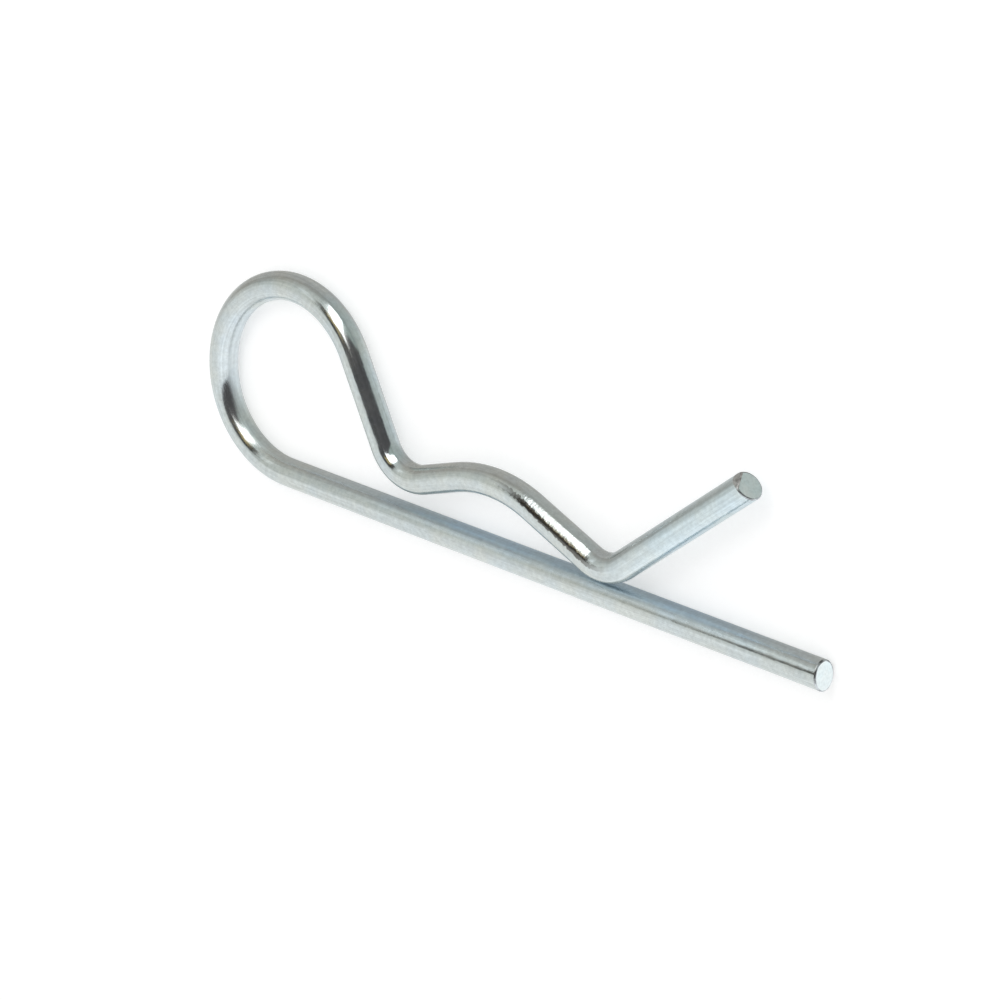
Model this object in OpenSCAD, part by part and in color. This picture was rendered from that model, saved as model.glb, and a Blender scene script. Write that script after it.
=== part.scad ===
// Hitch R clip: one length of round spring wire, bent into a straight leg, a round pull
// loop and a sprung curved leg that grips a drilled shaft or pin.
// Millimetres. The clip lies on its side. +X runs along the straight leg to its free end,
// +Y points across to the curved leg and +Z is up. The underside rests on z = 0, and the
// origin is under the middle of the clip's length and width.

/* [Wire] */
// Wire diameter
wire_d = 4; // [3.7:0.1:4.3]
// Diameter that the wire loses where it is bent past the loop's far side
bend_thin = 0.02; // [0.01:0.002:0.04]
// Width of the edge broken off each cut end
edge_break = 0.22; // [0.1:0.02:0.4]

/* [Straight leg] */
// Length of the straight leg, from the pull loop to its furthest point
leg_len = 90.6; // [75:0.2:110]
// Slant of the sheared end, off square
leg_slant = 10; // [0:1:14]

/* [Pull loop] */
// Bend radius of the pull loop, at the middle of the wire
loop_r = 13.3; // [12:0.1:16]
// Slope of the neck that runs down from the loop, from the straight leg's direction
neck_a = 58.5; // [52:0.5:66]

/* [Notch] */
// Bend radius of the notch under the neck
notch_r = 6.2; // [5:0.1:7.5]
// Height of the notch's lowest point over the straight leg, middle to middle
notch_h = 6.3; // [5.6:0.1:7]

/* [Shaft seat] */
// Slope of the wire as it rises from the notch
rise_a = 20; // [17:0.5:23]
// Bend radius of the crown of the seat
crown_r = 19; // [14:0.5:21]
// Height of the crown over the straight leg, middle to middle
crown_h = 9.8; // [9.4:0.1:11]
// Slope of the wire as it falls to the nip
fall_a = 21; // [18:0.5:25]

/* [Nip and flare] */
// Bend radius of the nip
nip_r = 5.5; // [4.5:0.1:7]
// Gap left between the nip and the straight leg, surface to surface
nip_gap = 0.57; // [0.5:0.01:1.2]
// Slope of the flared end that leads a shaft in
flare_a = 42; // [35:0.5:50]
// Length of the flared end, to its furthest point
flare_len = 24; // [18:0.2:30]
// Slant of the flared end's sheared face, off square
tip_slant = 8; // [0:1:14]
// Direction that the slanted face looks to, from in the clip's plane towards up
tip_roll = 40; // [0:5:90]
// Width of the steeper facet that the shear leaves on the side that face looks to
facet_w = 0.8; // [0.5:0.1:1.2]
// Slope of the facet, off the sheared face
facet_a = 28; // [15:1:35]

/* [Side set] */
// Turn of the loop at which the wire leaves the straight leg's plane
set_at = 135; // [120:5:140]
// Angle that the curved leg stands over to one side
side_set = 1.6; // [0:0.1:2.4]

/* [Hidden] */
$fn = 96;

wire_r = wire_d / 2;
bend_r = wire_r - bend_thin / 2;
face_r = wire_r - edge_break;

// Each bend reaches this far into the straights on either side of it
lap = 0.05;

// Depth of a bend between its straight at slope a and its highest or lowest point
function sag(r, a) = r * (1 - cos(a));

// Straights between the bends, from the heights that the bends have to reach
neck_len = (2 * loop_r - sag(loop_r, neck_a) - notch_h - sag(notch_r, neck_a)) / sin(neck_a);
rise_len = (crown_h - sag(crown_r, rise_a) - notch_h - sag(notch_r, rise_a)) / sin(rise_a);

// The curved leg leans over to one side about the loop's tangent at set_at, so its nip sits
// beside the top of the straight leg, and nip_h allows for that. Lengths are along the leg
// from its root, where the loop starts.
fall_x = loop_r * sin(neck_a) + neck_len * cos(neck_a)
    + notch_r * (sin(neck_a) + sin(rise_a)) + rise_len * cos(rise_a)
    + crown_r * (sin(rise_a) + sin(fall_a));
nip_x = fall_x + (crown_h - sag(crown_r, fall_a) - wire_d) / tan(fall_a);
nip_arm = (nip_x + loop_r * sin(set_at)) * sin(set_at)
    + (wire_d - loop_r * (1 - cos(set_at))) * cos(set_at);
nip_h = sqrt(pow(wire_d + nip_gap, 2) - pow(nip_arm * sin(side_set), 2));
fall_len = (crown_h - sag(crown_r, fall_a) - nip_h - sag(nip_r, fall_a)) / sin(fall_a);

// The wire past the loop's far side. Each row is a bend and the straight after it:
// bend radius, turn (left is positive) and straight length
path = [
    [loop_r, set_at - 180 - neck_a, neck_len],
    [notch_r, neck_a + rise_a, rise_len],
    [crown_r, -rise_a - fall_a, fall_len],
    [nip_r, fall_a + flare_a, flare_len]
];

// A straight length of wire along +X
module straight(len) {
    rotate([0, 90, 0]) cylinder(h = len, d = wire_d);
}

// What the shear takes off: everything past the cut face, and a ring that breaks its edge
module sheared_off() {
    deep = wire_d / 8;
    difference() {
        translate([0, 0, -deep]) cylinder(h = deep + 2 * wire_d, r = 1.5 * wire_d);
        translate([0, 0, -deep]) cylinder(h = deep, r1 = face_r + deep, r2 = face_r);
    }
}

// What a steeper bite of the shear takes off, past a line at offset from the wire's middle
module facet_off(offset) {
    translate([offset, 0, 0]) rotate([0, facet_a, 0])
        translate([-wire_d, -wire_d, 0]) cube(2 * wire_d);
}

// A straight length along +X that ends in a slanted sheared face, its furthest point at len,
// with a facet of the given width on the side that the face looks to
module cut_straight(len, slant, roll, facet) {
    rotate([0, 90, 0]) difference() {
        cylinder(h = len + 1, d = wire_d);
        translate([0, 0, len - face_r * sin(slant)])
            rotate([0, 0, 90 + roll]) rotate([0, slant, 0]) {
                sheared_off();
                if (facet > 0)
                    facet_off(wire_r - facet);
            }
    }
}

// A bend that starts along +X, with a lap at both ends
module bend(r, turn, section_r, lap_a) {
    mirror([0, turn < 0 ? 1 : 0, 0]) translate([0, r, 0]) rotate([0, 0, -90 - lap_a])
        rotate_extrude(angle = abs(turn) + 2 * lap_a)
            translate([r, 0]) circle(r = section_r);
}

// Puts its children where a bend ends, with +X along the wire again
module past_bend(r, turn) {
    side = sign(turn) * r;
    translate([0, side, 0]) rotate([0, 0, turn]) translate([0, -side, 0]) children();
}

// The wire from row i of the path to its end
module wire_from(i) {
    r = path[i][0];
    turn = path[i][1];
    len = path[i][2];
    bend(r, turn, bend_r, lap / r * 180 / PI);
    past_bend(r, turn)
        if (i == len(path) - 1)
            cut_straight(len, tip_slant, tip_roll, facet_w);
        else {
            straight(len);
            translate([len, 0, 0]) wire_from(i + 1);
        }
}

module clip_wire() {
    color([0.70, 0.74, 0.75])
        translate([(loop_r + wire_r - leg_len) / 2, -loop_r, wire_r]) {
            cut_straight(leg_len, leg_slant, 0, 0);
            rotate([0, 0, 180]) {
                bend(loop_r, -set_at, wire_r, 0);
                past_bend(loop_r, -set_at) rotate([-side_set, 0, 0]) wire_from(0);
            }
        }
}

clip_wire();
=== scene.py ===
# %% [markdown]
# # Hitch R clip
# A hitch R clip is one length of spring wire. It leaves the bending machine with a straight
# leg, a round pull loop and a waved leg, and it is zinc plated last, so even its sheared
# ends are plated. It lies on its side on a pale table here, seen from above.
#
# The solid model is loaded first. It fixes every size, so the wire modelled below has to
# fall exactly on it.

from math import cos, pi, radians, sin, sqrt, tan

import bpy
from mathutils import Matrix, Vector


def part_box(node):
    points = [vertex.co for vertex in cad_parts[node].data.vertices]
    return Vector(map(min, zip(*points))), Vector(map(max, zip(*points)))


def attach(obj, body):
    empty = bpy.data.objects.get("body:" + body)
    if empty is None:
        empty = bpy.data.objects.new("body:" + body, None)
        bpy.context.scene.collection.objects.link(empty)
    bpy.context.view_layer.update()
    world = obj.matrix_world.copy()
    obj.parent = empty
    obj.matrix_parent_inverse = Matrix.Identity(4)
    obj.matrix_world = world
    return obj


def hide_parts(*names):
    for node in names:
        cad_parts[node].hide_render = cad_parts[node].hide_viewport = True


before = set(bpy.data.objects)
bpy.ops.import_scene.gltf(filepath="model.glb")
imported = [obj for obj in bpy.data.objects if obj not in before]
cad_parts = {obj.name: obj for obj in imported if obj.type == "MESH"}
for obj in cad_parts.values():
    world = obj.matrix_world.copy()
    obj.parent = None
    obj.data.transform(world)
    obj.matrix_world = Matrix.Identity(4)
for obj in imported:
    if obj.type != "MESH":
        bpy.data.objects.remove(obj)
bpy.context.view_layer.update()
low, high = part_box("clip_wire")
print("solid model, mm:", [round(1000 * size, 2) for size in high - low])

# %% [markdown]
# ## Camera
# The camera stands about four clip lengths away and looks down at the loop side of the
# clip, so the straight leg comes towards it. It is rolled until the straight leg runs down
# to the right. A long lens keeps the far loop nearly as large as the near ends. It could be
# moved and turned by hand, but with two angles, a roll and a distance each can be changed
# while the others stay.

# %% Place the camera
MM = 0.001
AIM = Vector((0, -6.1 * MM, 2 * MM))
CAMERA_DISTANCE = 431.4 * MM
CAMERA_AROUND = radians(31.58)
CAMERA_HEIGHT = radians(46.43)
CAMERA_ROLL = radians(-110.1)
LENS_LENGTH = 119.15

towards_camera = Vector((
    cos(CAMERA_HEIGHT) * cos(CAMERA_AROUND),
    cos(CAMERA_HEIGHT) * sin(CAMERA_AROUND),
    sin(CAMERA_HEIGHT),
))
bpy.ops.object.camera_add(location=AIM + CAMERA_DISTANCE * towards_camera)
camera = bpy.context.object
camera.name = "camera"
camera.data.lens = LENS_LENGTH
turn = towards_camera.to_track_quat("Z", "Y").to_matrix() @ Matrix.Rotation(CAMERA_ROLL, 3, "Z")
camera.rotation_euler = turn.to_euler()
bpy.context.scene.camera = camera
print("camera at, mm:", [round(c / MM) for c in camera.location])

# %% [markdown]
# ## The wire's bends
# A wire bender thinks in three numbers: how far to feed, how tight to bend and how far to
# turn. The same three describe the clip here. Its middle line could be drawn point by point,
# but then a change to one bend would move every point after it. Most of the numbers are
# plain sizes of the clip, and the straights between two bends follow from the heights that
# the bends have to reach.

# %% Sizes of the clip
WIRE_R = 2 * MM
LEG_LENGTH = 90.6 * MM
LOOP_R = 13.3 * MM
NECK_SLOPE = radians(58.5)
NOTCH_R = 6.2 * MM
NOTCH_HEIGHT = 6.3 * MM
RISE_SLOPE = radians(20)
CROWN_R = 19 * MM
CROWN_HEIGHT = 9.8 * MM
FALL_SLOPE = radians(21)
NIP_R = 5.5 * MM
NIP_GAP = 0.57 * MM
FLARE_SLOPE = radians(42)
FLARE_LENGTH = 24 * MM
SET_AT = radians(135)
SIDE_SET = radians(1.6)


def sag(bend_r, slope):
    """Depth of a bend between its straight at a slope and its highest or lowest point."""
    return bend_r * (1 - cos(slope))


neck = 2 * LOOP_R - sag(LOOP_R, NECK_SLOPE) - NOTCH_HEIGHT - sag(NOTCH_R, NECK_SLOPE)
neck /= sin(NECK_SLOPE)
rise = CROWN_HEIGHT - sag(CROWN_R, RISE_SLOPE) - NOTCH_HEIGHT - sag(NOTCH_R, RISE_SLOPE)
rise /= sin(RISE_SLOPE)
crown_end = (
    LOOP_R * sin(NECK_SLOPE)
    + neck * cos(NECK_SLOPE)
    + NOTCH_R * (sin(NECK_SLOPE) + sin(RISE_SLOPE))
    + rise * cos(RISE_SLOPE)
    + CROWN_R * (sin(RISE_SLOPE) + sin(FALL_SLOPE))
)
drop = CROWN_HEIGHT - sag(CROWN_R, FALL_SLOPE)
nip_x = crown_end + (drop - 2 * WIRE_R) / tan(FALL_SLOPE)
nip_arm = (nip_x + LOOP_R * sin(SET_AT)) * sin(SET_AT)
nip_arm += (2 * WIRE_R - LOOP_R * (1 - cos(SET_AT))) * cos(SET_AT)
nip_height = sqrt((2 * WIRE_R + NIP_GAP) ** 2 - (nip_arm * sin(SIDE_SET)) ** 2)
fall = (drop - nip_height - sag(NIP_R, FALL_SLOPE)) / sin(FALL_SLOPE)
print("straights, mm:", [round(s / MM, 2) for s in (neck, rise, fall)])

# %% [markdown]
# ## Modelling the wire
# The wire could be a curve with a round bevel, which is quick but leaves no control over
# its rings. Here it is made as the machine makes it: one circle is fed along a straight
# with Extrude and carried round each bend with Spin. The circle always starts the next
# move where the last one ended, so a small "feeder" only has to remember where it is,
# which way it points and which way it bends.

# %% Feed and bend
RING = 64
BEND_STEP = radians(3)


class Feeder:
    """The end of the wire: its place, its heading, and the direction to its left."""

    def __init__(self, place, heading, left):
        self.place = place
        self.heading = heading
        self.left = left
        self.run = [0.0]

    def feed(self, length):
        """Pushes a straight length of wire out."""
        step = self.heading * length
        bpy.ops.mesh.extrude_region_move(TRANSFORM_OT_translate={"value": step})
        self.place = self.place + step
        self.run.append(self.run[-1] + length)

    def bend(self, bend_r, turn):
        """Bends the wire round a former, to the left for a positive turn."""
        side = 1 if turn > 0 else -1
        centre = self.place + self.left * bend_r * side
        up = self.heading.cross(self.left)
        steps = max(2, round(abs(turn) / BEND_STEP))
        bpy.ops.mesh.spin(steps=steps, angle=-turn, center=centre, axis=up)
        swing = Matrix.Rotation(turn, 3, up)
        self.place = centre + swing @ (self.place - centre)
        self.heading = swing @ self.heading
        self.left = swing @ self.left
        arc = abs(turn) * bend_r
        self.run += [self.run[-1] + arc * (i + 1) / steps for i in range(steps)]

    def roll(self, angle):
        """Turns the wire about itself, which tips the plane of the bends that follow."""
        self.left = Matrix.Rotation(angle, 3, self.heading) @ self.left


# %% Make the wire
SPARE = 1 * MM
root = Vector((low.x + LOOP_R + WIRE_R, low.y + WIRE_R, low.z + WIRE_R))
leg_tip = root + Vector((LEG_LENGTH, 0, 0))

bpy.ops.object.select_all(action="DESELECT")
bpy.ops.mesh.primitive_circle_add(
    vertices=RING, radius=WIRE_R, location=leg_tip + Vector((SPARE, 0, 0)), rotation=(0, -pi / 2, 0)
)
wire = bpy.context.object
wire.name = "drawn_wire"
bpy.ops.object.transform_apply(location=True, rotation=True, scale=True)
bpy.ops.object.mode_set(mode="EDIT")
bpy.ops.mesh.select_all(action="SELECT")
feeder = Feeder(leg_tip + Vector((SPARE, 0, 0)), Vector((-1, 0, 0)), Vector((0, -1, 0)))
feeder.feed(SPARE + LEG_LENGTH)
feeder.bend(LOOP_R, -SET_AT)
feeder.roll(-SIDE_SET)
feeder.bend(LOOP_R, -(pi - SET_AT + NECK_SLOPE))
feeder.feed(neck)
feeder.bend(NOTCH_R, NECK_SLOPE + RISE_SLOPE)
feeder.feed(rise)
feeder.bend(CROWN_R, -(RISE_SLOPE + FALL_SLOPE))
feeder.feed(fall)
feeder.bend(NIP_R, FALL_SLOPE + FLARE_SLOPE)
feeder.feed(FLARE_LENGTH + SPARE)
bpy.ops.object.mode_set(mode="OBJECT")
print("rings:", len(feeder.run), "vertices:", len(wire.data.vertices))
print("end at, mm:", [round(c / MM, 2) for c in feeder.place])

# %% [markdown]
# ## Keeping the draw lines on the wire
# Drawing the wire through a die leaves fine lines along it, and they follow every bend. A
# texture on plain object coordinates would run straight through the bends instead. So each
# ring writes down where it sat on the straight wire before it was bent. Noise that reads
# this "unbent" place, stretched lengthwise, bends with the wire and has no seam.

# %% Note the unbent places
unbent = wire.data.attributes.new("unbent", "FLOAT_VECTOR", "POINT")
for number, point in enumerate(unbent.data):
    ring, step = divmod(number, RING)
    angle = 2 * pi * step / RING
    point.vector = (feeder.run[ring], WIRE_R * cos(angle), WIRE_R * sin(angle))
print("wire length, mm:", round(feeder.run[-1] / MM, 1))

# %% [markdown]
# ## The sheared ends
# A shear cuts the wire off a little out of square. The flared end's face has a steeper facet
# on one side as well, and every rim is slightly rounded. The ends could be capped where the
# last ring stands, but then they would be square and sharp. Here the wire is made a little
# too long, and Bisect makes each cut and closes it. A bevel rounds the edges of the cut, and
# an inset keeps the middle of each face flat when the wire is shaded smooth.

# %% Shear the ends
EDGE = 0.22 * MM
LEG_SLANT = radians(10)
TIP_SLANT = radians(8)
TIP_ROLL = radians(40)
FACET_WIDTH = 0.8 * MM
FACET_SLOPE = radians(28)
RIM_STEPS = 4
RIM_INSET = EDGE / 4
SAME_FACE = radians(1)
cut_faces = []


def select_cut_faces(normals, middle):
    """Selects the flat faces that the shear has left near one place."""
    bpy.ops.mesh.select_all(action="DESELECT")
    bpy.ops.object.mode_set(mode="OBJECT")
    for face in wire.data.polygons:
        flat = any(abs(face.normal.dot(normal)) > cos(SAME_FACE) for normal in normals)
        near = (face.center - middle).length < WIRE_R
        face.select = flat and near and len(face.vertices) > 4
    bpy.ops.object.mode_set(mode="EDIT")


def shear(tip, heading, left, slant, roll, facet):
    """Cuts the wire off at its tip with a slanted face, and a steeper facet beside it."""
    up = heading.cross(left)
    lean = left * cos(roll) + up * sin(roll)
    normal = heading * cos(slant) + lean * sin(slant)
    middle = tip - heading * (WIRE_R - EDGE) * sin(slant)
    normals = [normal]
    bpy.ops.mesh.select_all(action="SELECT")
    bpy.ops.mesh.bisect(plane_co=middle, plane_no=normal, use_fill=True, clear_outer=True)
    if facet:
        steep = slant + FACET_SLOPE
        downhill = lean * cos(slant) - heading * sin(slant)
        normals.append(heading * cos(steep) + lean * sin(steep))
        ridge = middle + downhill * (WIRE_R - facet)
        bpy.ops.mesh.select_all(action="SELECT")
        bpy.ops.mesh.bisect(plane_co=ridge, plane_no=normals[1], use_fill=True, clear_outer=True)
    select_cut_faces(normals, middle)
    bpy.ops.mesh.bevel(offset=EDGE, segments=RIM_STEPS, affect="EDGES")
    select_cut_faces(normals, middle)
    bpy.ops.mesh.inset(thickness=RIM_INSET, use_individual=True)
    cut_faces.append((middle, normals))


bpy.context.view_layer.objects.active = wire
bpy.ops.object.mode_set(mode="EDIT")
shear(leg_tip, Vector((1, 0, 0)), Vector((0, 1, 0)), LEG_SLANT, 0, 0)
flare_tip = feeder.place - feeder.heading * SPARE
shear(flare_tip, feeder.heading, feeder.left, TIP_SLANT, TIP_ROLL, FACET_WIDTH)
bpy.ops.mesh.select_all(action="SELECT")
bpy.ops.mesh.normals_make_consistent(inside=False)
bpy.ops.object.mode_set(mode="OBJECT")
many_sided = sum(len(face.vertices) > 4 for face in wire.data.polygons)
print("faces:", len(wire.data.polygons), "many-sided:", many_sided)

# %% [markdown]
# ## Smooth shading
# Plain smooth shading would let the tiny rim faces tilt the normals at the end of the long
# straight leg, and that tilt would spread along the whole leg and bend its reflections. A
# Weighted Normal modifier lets the largest faces decide, so the leg shades as a true
# cylinder and only the rims turn.

# %% Shade the wire
SHARP_FROM = radians(35)

bpy.ops.object.shade_smooth_by_angle(angle=SHARP_FROM)
bpy.ops.object.modifier_add(type="WEIGHTED_NORMAL")
weighted = wire.modifiers[-1]
weighted.keep_sharp = True
bpy.ops.object.modifier_apply(modifier=weighted.name)
print("custom normals:", wire.data.has_custom_normals)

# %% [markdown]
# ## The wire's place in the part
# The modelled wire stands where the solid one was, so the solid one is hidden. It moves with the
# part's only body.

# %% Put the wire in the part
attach(wire, "root")
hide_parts("clip_wire")
print(wire.name, "stands in for clip_wire")

# %% [markdown]
# ## Zinc plate
# Zinc plate is a soft mirror with a faint blue cast. Its look comes from three things: a
# slightly cloudy colour, a fine crystal grain, and the draw lines of the steel that still
# show through it. The clouds and the grain are one node group, because the drawn wire and
# the sheared ends both carry them, each at its own scale. A few helpers come first, so that
# a node is made and linked in one line.

# %% Helpers for nodes


def fill(tree, node, values):
    """Fills a node's inputs with plain values, or links other nodes' outputs to them."""
    for name, value in values.items():
        if isinstance(value, bpy.types.NodeSocket):
            tree.links.new(value, node.inputs[name])
        else:
            node.inputs[name].default_value = value


def add(tree, kind, values=None, **settings):
    """Adds a node, sets its settings and fills its inputs."""
    node = tree.nodes.new(kind)
    for name, value in settings.items():
        setattr(node, name, value)
    fill(tree, node, values or {})
    return node


def calculate(tree, operation, *values):
    """What a Math node makes of its values."""
    return add(tree, "ShaderNodeMath", dict(enumerate(values)), operation=operation).outputs["Value"]


def ramp(tree, value, start, end, low=0.0, high=1.0, interpolation="LINEAR"):
    """Runs from low, where a value is at start, to high, where it is at end."""
    limits = {"Value": value, "From Min": start, "From Max": end, "To Min": low, "To Max": high}
    node = add(tree, "ShaderNodeMapRange", limits, interpolation_type=interpolation)
    return node.outputs["Result"]


def blend(tree, share, first, second, blend_type="MIX"):
    """Mixes a share of the second colour into the first, or multiplies by it."""
    colours = {"Factor": share, "A": first, "B": second}
    node = add(tree, "ShaderNodeMix", colours, data_type="RGBA", blend_type=blend_type)
    return node.outputs["Result"]


def noise(tree, place, scale, detail, roughness):
    """Soft random values at a place."""
    values = {"Vector": place, "Scale": scale, "Detail": detail, "Roughness": roughness}
    return add(tree, "ShaderNodeTexNoise", values).outputs["Fac"]


# %% Cloudy, grainy zinc, a node group
CLOUD_EDGES = (0.35, 0.65)
GRAIN_PER_CLOUD = 9.0
GRAIN_EDGES = (0.3, 0.7)
GRAIN_SHADE = (0.9, 1.04)

plate = bpy.data.node_groups.new("zinc_plate", "ShaderNodeTree")
plate.interface.new_socket("Place", in_out="INPUT", socket_type="NodeSocketVector")
plate.interface.new_socket("Scale", in_out="INPUT", socket_type="NodeSocketFloat")
plate.interface.new_socket("Cool", in_out="INPUT", socket_type="NodeSocketColor")
plate.interface.new_socket("Warm", in_out="INPUT", socket_type="NodeSocketColor")
plate.interface.new_socket("Colour", in_out="OUTPUT", socket_type="NodeSocketColor")
plate.interface.new_socket("Cloud", in_out="OUTPUT", socket_type="NodeSocketFloat")
plate.interface.new_socket("Grain", in_out="OUTPUT", socket_type="NodeSocketFloat")
given = add(plate, "NodeGroupInput").outputs
patches = noise(plate, given["Place"], given["Scale"], detail=3.0, roughness=0.6)
cloud = ramp(plate, patches, *CLOUD_EDGES)
tint = blend(plate, cloud, given["Cool"], given["Warm"])
finer = calculate(plate, "MULTIPLY", given["Scale"], GRAIN_PER_CLOUD)
grain = noise(plate, given["Place"], finer, detail=2.0, roughness=0.55)
speckle = ramp(plate, grain, *GRAIN_EDGES, *GRAIN_SHADE)
grainy = blend(plate, 1.0, tint, speckle, "MULTIPLY")
add(plate, "NodeGroupOutput", {"Colour": grainy, "Cloud": cloud, "Grain": grain})
print("nodes in the zinc group:", len(plate.nodes))

# %% [markdown]
# ## Zinc on the drawn wire
# The drawn wire carries the plate's clouds and, over them, streaks that run along it and
# faint ripples that break up its mirror. They could be painted on an image, but an image has
# a seam and a limit to how closely it can be looked at. Noise has neither. All of it reads
# the unbent place, so that it follows the bends.

# %% Helpers for materials


def blank_material(name):
    """A node material with only a Principled BSDF and its output."""
    material = bpy.data.materials.new(name)
    material.use_nodes = True
    return material, material.node_tree, material.node_tree.nodes["Principled BSDF"]


def stretched(tree, place, scale):
    """A place on a scale of its own in each direction."""
    return add(tree, "ShaderNodeMapping", {"Vector": place, "Scale": scale}).outputs["Vector"]


# %% Zinc on the drawn wire
COOL_ZINC = (0.68, 0.735, 0.755, 1)
WARM_ZINC = (0.72, 0.745, 0.72, 1)
WIRE_CLOUDS = 180.0
STREAKS = (40.0, 2400.0, 2400.0)
STREAK_EDGES = (0.3, 0.7)
STREAK_SHADE = (0.84, 1.05)
RIPPLES = (500.0, 1700.0, 1700.0)
SMOOTHEST = 0.12
ROUGHEST = 0.2
RELIEF_DEPTH = 0.02 * MM

drawn, tree, shader = blank_material("zinc_on_drawn_wire")
unbent_place = add(tree, "ShaderNodeAttribute", attribute_name="unbent").outputs["Vector"]
look = {"Place": unbent_place, "Scale": WIRE_CLOUDS, "Cool": COOL_ZINC, "Warm": WARM_ZINC}
zinc = add(tree, "ShaderNodeGroup", look, node_tree=plate).outputs
draw_lines = noise(tree, stretched(tree, unbent_place, STREAKS), 1.0, detail=3.0, roughness=0.6)
streak = ramp(tree, draw_lines, *STREAK_EDGES, *STREAK_SHADE)
bare = blend(tree, 1.0, zinc["Colour"], streak, "MULTIPLY")
gloss = ramp(tree, zinc["Cloud"], 0.0, 1.0, SMOOTHEST, ROUGHEST)
ripple = noise(tree, stretched(tree, unbent_place, RIPPLES), 1.0, detail=2.0, roughness=0.5)
print("wire material:", drawn.name)

# %% [markdown]
# ## Painted blue shade and a bluer flare
# The straight leg is painted darker and bluer on the side that faces the curved leg, and made duller
# there. The darker blue is painted shade with a blue cast. The flared end is tinted a little bluer
# all round. A tinted light could do the painted shade too, but then every part of the wire that
# mirrors the light would turn blue with it. So the painted shade and the tint are laid on the plate
# by place: X is the distance along the wire, and Y points to the inside of the loop.

# %% Painted blue shade and a bluer flare
# Colour of the painted bluish shade on the leg, then the flared end's tint.
PAINTED_BLUE_SHADE = (0.79, 0.93, 1.09, 1)
FLARE_TINT = (1.02, 1.08, 1.12, 1)
PAINTED_SHADE_SIDE = (0.6 * MM, 1.9 * MM)
PAINTED_SHADE_STARTS = (2 * MM, 20 * MM)
PAINTED_SHADE_ENDS = (85 * MM, 60 * MM)
FLARE_STARTS = (202 * MM, 214 * MM)
DULL_EDGE = (1.55 * MM, 1.85 * MM)
DULLER = 0.22

parts = add(tree, "ShaderNodeSeparateXYZ", {"Vector": unbent_place}).outputs
painted_shade_run = calculate(
    tree, "MULTIPLY", ramp(tree, parts["X"], *PAINTED_SHADE_STARTS), ramp(tree, parts["X"], *PAINTED_SHADE_ENDS)
)
# Painted bluish shade on the side of the straight leg that faces the curved leg.
painted_shade_mask = calculate(tree, "MULTIPLY", painted_shade_run, ramp(tree, parts["Y"], *PAINTED_SHADE_SIDE))
with_painted_shade = blend(tree, painted_shade_mask, bare, PAINTED_BLUE_SHADE, "MULTIPLY")
# The flared end is tinted a little bluer all round.
tinted = blend(tree, ramp(tree, parts["X"], *FLARE_STARTS), with_painted_shade, FLARE_TINT, "MULTIPLY")
dull = calculate(tree, "MAXIMUM", painted_shade_mask, ramp(tree, parts["Y"], *DULL_EDGE))
roughness = calculate(tree, "MULTIPLY_ADD", dull, DULLER, gloss)
print("film on the leg, mm:", PAINTED_SHADE_STARTS[0] / MM, "to", PAINTED_SHADE_ENDS[0] / MM)

# %% [markdown]
# ## Scuffs and a painted reflection on the fall
# Where the curved leg falls to the nip, its highlight has ragged edges and a ragged dark line beside
# it. Fine scuffs in the relief break the highlight up. The dark line is a painted reflection: it is
# painted in the plate's colour, between two limits that drift across the wire as it goes. A dark
# card beside the lamp would make it as a true reflection, but every card that was tried darkened the
# straight leg too. A painted reflection stays where it is when the clip is looked at from another
# side, and a real one would not.

# %% Scuffs and a painted reflection on the fall
SCUFFS_START = (181 * MM, 187 * MM)
SCUFFS_END = (203 * MM, 198 * MM)
SCUFF_DEPTH = 0.9
SCUFF_GRAIN = (2400.0, 1400.0, 1400.0)
# Colour of the painted dark reflection beside the fall's highlight.
PAINTED_DARK_REFLECTION = (0.16, 0.15, 0.14, 1)
LINE_DRIFT = 0.042
LINE_RAGGED = 0.9 * MM
LINE_MIDDLE = -8.3 * MM
LINE_HALF = 0.31 * MM
LINE_FADE = (0.0, -0.5 * MM)

scuffs_and_reflection_stretch = calculate(
    tree,
    "MULTIPLY",
    ramp(tree, parts["X"], *SCUFFS_START, high=SCUFF_DEPTH),
    ramp(tree, parts["X"], *SCUFFS_END),
)
scuffs = noise(tree, stretched(tree, unbent_place, SCUFF_GRAIN), 1.0, detail=2.0, roughness=0.6)
heights = calculate(tree, "MULTIPLY_ADD", scuffs, scuffs_and_reflection_stretch, ripple)
drift = {0: unbent_place, 1: (-LINE_DRIFT, 1.0, 0.0)}
across = add(tree, "ShaderNodeVectorMath", drift, operation="DOT_PRODUCT").outputs["Value"]
ragged = calculate(tree, "MULTIPLY_ADD", scuffs, LINE_RAGGED, across)
# The ragged dark line is a painted reflection, not a mark on the wire.
painted_reflection_line = calculate(tree, "COMPARE", ragged, LINE_MIDDLE, LINE_HALF)
on_fall = calculate(tree, "MULTIPLY", painted_reflection_line, scuffs_and_reflection_stretch)
on_top = calculate(tree, "MULTIPLY", on_fall, ramp(tree, parts["Z"], *LINE_FADE))
with_painted_reflection = blend(tree, on_top, tinted, PAINTED_DARK_REFLECTION)
bump = {"Strength": 1.0, "Distance": RELIEF_DEPTH, "Height": heights}
relief = add(tree, "ShaderNodeBump", bump).outputs["Normal"]
fill(tree, shader, {"Metallic": 1.0, "Base Color": with_painted_reflection, "Roughness": roughness, "Normal": relief})
wire.data.materials.append(drawn)
print("nodes in the wire's material:", len(tree.nodes))

# %% [markdown]
# ## Zinc on the sheared ends
# The sheared faces look frosty: paler than the drawn wire, rougher, and mottled at random instead of
# lengthwise. The facet beside the flared end's face is painted darker, as painted shade, and the
# rounded rims are mottled dark and light, as painted reflections. Three copies of one material would
# do, but only their colours, grain and roughness differ, so one function makes all three.

# %% Zinc on the sheared faces
CLOUDS_ROUGHER = 1.5


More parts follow.
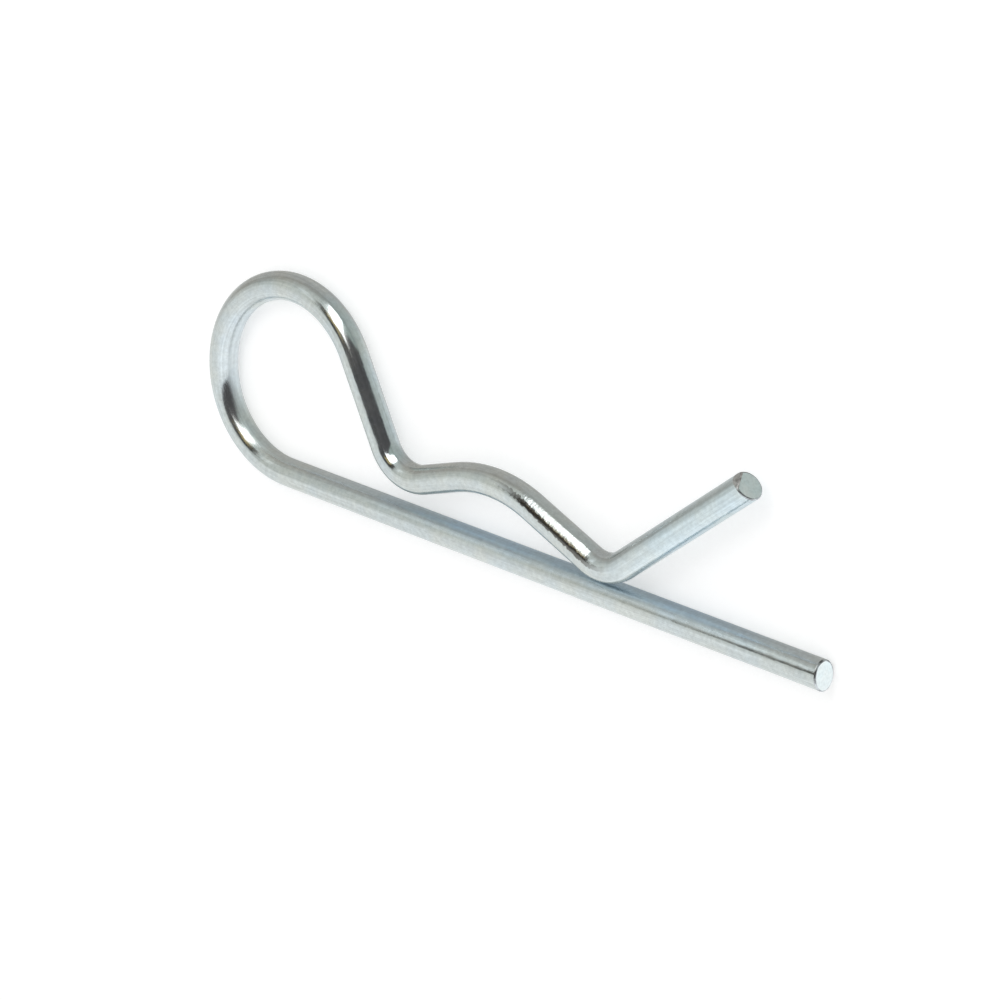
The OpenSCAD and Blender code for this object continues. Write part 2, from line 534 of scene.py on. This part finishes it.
def sheared_zinc(name, cool, warm, scale, rough):
    """Zinc on sheared steel: two colours, how fine its patches are, and its roughness."""
    finish, tree, shader = blank_material(name)
    here = add(tree, "ShaderNodeTexCoord").outputs["Object"]
    look = {"Place": here, "Scale": scale, "Cool": cool, "Warm": warm}
    zinc = add(tree, "ShaderNodeGroup", look, node_tree=plate).outputs
    gloss = ramp(tree, zinc["Cloud"], 0.0, 1.0, rough, CLOUDS_ROUGHER * rough)
    bump = {"Strength": 1.0, "Distance": RELIEF_DEPTH, "Height": zinc["Grain"]}
    relief = add(tree, "ShaderNodeBump", bump).outputs["Normal"]
    looks = {"Metallic": 1.0, "Base Color": zinc["Colour"], "Roughness": gloss, "Normal": relief}
    fill(tree, shader, looks)
    wire.data.materials.append(finish)


sheared_zinc("zinc_on_torn_face", (0.78, 0.85, 0.85, 1), (0.86, 0.89, 0.87, 1), 300.0, 0.28)
# The facet's darker colours are painted shade, and the rim's dark and light mottling is painted
# reflection.
sheared_zinc("zinc_on_facet", (0.7, 0.68, 0.67, 1), (0.34, 0.32, 0.31, 1), 1400.0, 0.3)
sheared_zinc("zinc_on_rim", (0.62, 0.64, 0.65, 1), (0.14, 0.14, 0.14, 1), 900.0, 0.25)
print("materials:", [finish.name for finish in wire.data.materials])

# %% [markdown]
# ## Which faces the shear has left
# A face gets its finish from its place and the way it looks, as it would be picked by hand.
# Everything close to the middle of a cut counts as rim, unless it looks nearly the same way
# as the cut's face or its facet.

# %% Give the sheared faces their finish
TORN = 1
FACET = 2
RIM = 3
END_REACH = 1.2 * WIRE_R
NEARLY_FLAT = radians(10)

for face in wire.data.polygons:
    for middle, normals in cut_faces:
        if (face.center - middle).length > END_REACH:
            continue
        face.material_index = RIM
        for finish, normal in zip((TORN, FACET), normals):
            if face.normal.dot(normal) > cos(NEARLY_FLAT):
                face.material_index = finish
for finish in (TORN, FACET, RIM):
    count = sum(face.material_index == finish for face in wire.data.polygons)
    print(wire.data.materials[finish].name, "faces:", count)

# %% [markdown]
# ## Table
# The clip lies on a pale table. Strong lamps could make the table white, but they would
# wash the clip out too. So the table glows a little of itself, for the eye and for the
# wire's reflections only, and it still takes a soft shadow. The glow is weaker close to the
# clip. Most of what the wire mirrors downwards passes through the table to the light tent,
# which keeps the wire's sides from turning as white as the table.

# %% Table
TABLE_SIZE = 8.0
TABLE_COLOUR = (0.85, 0.85, 0.85, 1)
TABLE_ROUGHNESS = 0.9
WHITE = (1, 1, 1, 1)
GLOW_REACH = (0.06, 0.4)
NEAR_GLOW = 0.42
FAR_GLOW = 0.5
THROUGH_TABLE = 0.85

bpy.ops.mesh.primitive_plane_add(size=TABLE_SIZE, location=(0, 0, 0))
table = bpy.context.object
table.name = "table"
table_finish, tree, shader = blank_material("pale_table")
rays = add(tree, "ShaderNodeLightPath").outputs
ground = add(tree, "ShaderNodeTexCoord").outputs["Object"]
away = add(tree, "ShaderNodeVectorMath", {0: ground}, operation="LENGTH").outputs["Value"]
glow = ramp(tree, away, *GLOW_REACH, NEAR_GLOW, FAR_GLOW)
seen = calculate(tree, "MAXIMUM", rays["Is Camera Ray"], rays["Is Glossy Ray"])
fill(tree, shader, {
    "Base Color": TABLE_COLOUR,
    "Roughness": TABLE_ROUGHNESS,
    "Specular IOR Level": 0.0,
    "Emission Color": WHITE,
    "Emission Strength": calculate(tree, "MULTIPLY", seen, glow),
})
clear = add(tree, "ShaderNodeBsdfTransparent").outputs["BSDF"]
thinned = add(tree, "ShaderNodeMixShader", {
    "Fac": calculate(tree, "MULTIPLY", rays["Is Glossy Ray"], THROUGH_TABLE),
    1: shader.outputs["BSDF"],
    2: clear,
})
fill(tree, tree.nodes["Material Output"], {"Surface": thinned.outputs["Shader"]})
table.data.materials.append(table_finish)
print("table, m:", TABLE_SIZE, "nodes:", len(tree.nodes))

# %% [markdown]
# ## Light tent
# The wire mirrors everything round it, so the stage is set up for what the wire should
# reflect. It lies in a light tent: bright on the straight leg's side, greyer on the other,
# and bluish white in front. A cheap way would be one lamp and a plain white world, but then
# round polished wire looks like plastic, because nothing in it has an edge to mirror. Only
# mirrored rays see the tent. The eye sees white, and plain even light falls on the table.

# %% Light tent
TENT_LIGHT = 0.66
BRIGHT_BACK = (0.92, 0.95, 0.95, 1)
BRIGHT_FRONT = (1.11, 1.16, 1.2, 1)
GREY_LOW = (0.42, 0.41, 0.38, 1)
GREY_TOP = (0.66, 0.69, 0.66, 1)
GREY_FRONT = (0.38, 0.44, 0.42, 1)
SIDE = (-0.45, 0.22)
HEIGHT = (0.1, 0.75)
FRONT = (-0.42, 0.35)
FRONT_SIDE = (-0.25, 0.75)

world = bpy.data.worlds.new("light_tent")
bpy.context.scene.world = world
world.use_nodes = True
tree = world.node_tree
tree.nodes.clear()
heading = add(tree, "ShaderNodeTexCoord").outputs["Generated"]
axes = add(tree, "ShaderNodeSeparateXYZ", {"Vector": heading}).outputs
side = ramp(tree, axes["Y"], *SIDE, interpolation="SMOOTHSTEP")
height = ramp(tree, axes["Z"], *HEIGHT, interpolation="SMOOTHSTEP")
front = ramp(tree, axes["X"], *FRONT, interpolation="SMOOTHSTEP")
front_side = ramp(tree, axes["Y"], *FRONT_SIDE, interpolation="SMOOTHSTEP")
greys = blend(tree, height, GREY_LOW, GREY_TOP)
at_back = blend(tree, side, BRIGHT_BACK, greys)
at_front = blend(tree, front_side, BRIGHT_FRONT, GREY_FRONT)
tent = blend(tree, front, at_back, at_front)
mirrored = add(tree, "ShaderNodeBackground", {"Color": tent})
plain = add(tree, "ShaderNodeBackground", {"Color": WHITE, "Strength": TENT_LIGHT})
white = add(tree, "ShaderNodeBackground", {"Color": WHITE})
rays = add(tree, "ShaderNodeLightPath").outputs
for_wire = add(tree, "ShaderNodeMixShader", {
    "Fac": rays["Is Glossy Ray"],
    1: plain.outputs["Background"],
    2: mirrored.outputs["Background"],
})
for_eye = add(tree, "ShaderNodeMixShader", {
    "Fac": rays["Is Camera Ray"],
    1: for_wire.outputs["Shader"],
    2: white.outputs["Background"],
})
add(tree, "ShaderNodeOutputWorld", {"Surface": for_eye.outputs["Shader"]})
print("tent nodes:", len(tree.nodes))

# %% [markdown]
# ## Softbox
# The hard white highlights on the loop, the notch and the fall mirror one oblong softbox
# close over the clip. It could be placed by plain coordinates, but a lamp for polished metal
# is easier to place as it is seen from the clip: so many degrees to the right of the camera,
# so many above it, and so far away. Two helpers turn that into a place and a rotation.

# %% Places round the camera
right = turn @ Vector((1, 0, 0))
above = turn @ Vector((0, 1, 0))


def beside_camera(across, upward, distance):
    """A place at these degrees right of and above the camera, seen from the clip."""
    flat = towards_camera * cos(radians(across)) + right * sin(radians(across))
    return AIM + distance * (flat * cos(radians(upward)) + above * sin(radians(upward)))


def face_clip(place, roll):
    """The rotation that turns a lamp or card here to the clip, rolled by these degrees."""
    back = (place - AIM).normalized()
    level = above.cross(back).normalized()
    upright = Matrix((level, back.cross(level), back)).transposed()
    return (upright @ Matrix.Rotation(radians(roll), 3, "Z")).to_euler()


# %% Softbox
BOX_WIDTH = 0.3
BOX_HEIGHT = 0.116
BOX_LIGHT = 2.0
BOX_ACROSS = -23.9
BOX_UPWARD = 34.2
BOX_DISTANCE = 0.3
BOX_ROLL = 57

box_place = beside_camera(BOX_ACROSS, BOX_UPWARD, BOX_DISTANCE)
bpy.ops.object.light_add(type="AREA", location=box_place, rotation=face_clip(box_place, BOX_ROLL))
softbox = bpy.context.object
softbox.name = "softbox"
softbox.data.shape = "RECTANGLE"
softbox.data.size = BOX_WIDTH
softbox.data.size_y = BOX_HEIGHT
softbox.data.energy = BOX_LIGHT * pi * BOX_WIDTH * BOX_HEIGHT
softbox.visible_camera = False
print("softbox at, mm:", [round(c / MM) for c in box_place])

# %% [markdown]
# ## Cards
# Four cards finish what the wire mirrors. The tent has a long slit for the camera, and the
# dark room behind it shows as the dark patches in the loop and down the neck. A warm card
# beside the softbox gives its highlights a golden edge. A small black flag darkens the edge
# of the highlight on the fall and draws the thin dark line along the straight leg, and a
# bright seam of the tent draws the light line beside that. All of it could be painted on the
# wire, but then it would stay put when the clip is turned. The cards don't show, and they
# neither light the table nor shade it.

# %% Cards
DARK_ROOM = (0.085, 0.082, 0.085, 1)
GOLDEN = (0.50, 0.40, 0.20, 1)
BLACK_CLOTH = (0.03, 0.028, 0.026, 1)
BRIGHT_CLOTH = (0.95, 1.0, 1.0, 1)
BLACK = (0, 0, 0, 1)


def add_card(name, place, roll, width, height, colour):
    """A card that only the wire's reflections see."""
    bpy.ops.mesh.primitive_plane_add(size=1, location=place, rotation=face_clip(place, roll))
    card = bpy.context.object
    card.name = name
    card.scale = (width, height, 1)
    card.visible_camera = False
    card.visible_diffuse = False
    card.visible_shadow = False
    finish, tree, shader = blank_material(name)
    fill(tree, shader, {
        "Base Color": BLACK,
        "Specular IOR Level": 0.0,
        "Emission Color": colour,
        "Emission Strength": 1.0,
    })
    card.data.materials.append(finish)
    print(name, "at, mm:", [round(c / MM) for c in place])


slit_place = beside_camera(0.5, 0.5, 1.2)
add_card("tent_slit", slit_place, roll=1.7, width=4.8, height=0.95, colour=DARK_ROOM)
edge_place = beside_camera(-40, 17, 0.55)
add_card("warm_edge", edge_place, roll=44.8, width=0.36, height=0.117, colour=GOLDEN)
flag_place = beside_camera(-57, 12.8, 0.5)
add_card("black_flag", flag_place, roll=59, width=0.315, height=0.06, colour=BLACK_CLOTH)
seam_place = beside_camera(-64, 24, 1.0)
add_card("tent_seam", seam_place, roll=0, width=0.12, height=0.33, colour=BRIGHT_CLOTH)

# %% [markdown]
# ## Finish
# Blender's usual view softens bright colours, as film does. The Standard view shows them as they
# are.

# %% Finish
bpy.context.scene.view_settings.view_transform = "Standard"
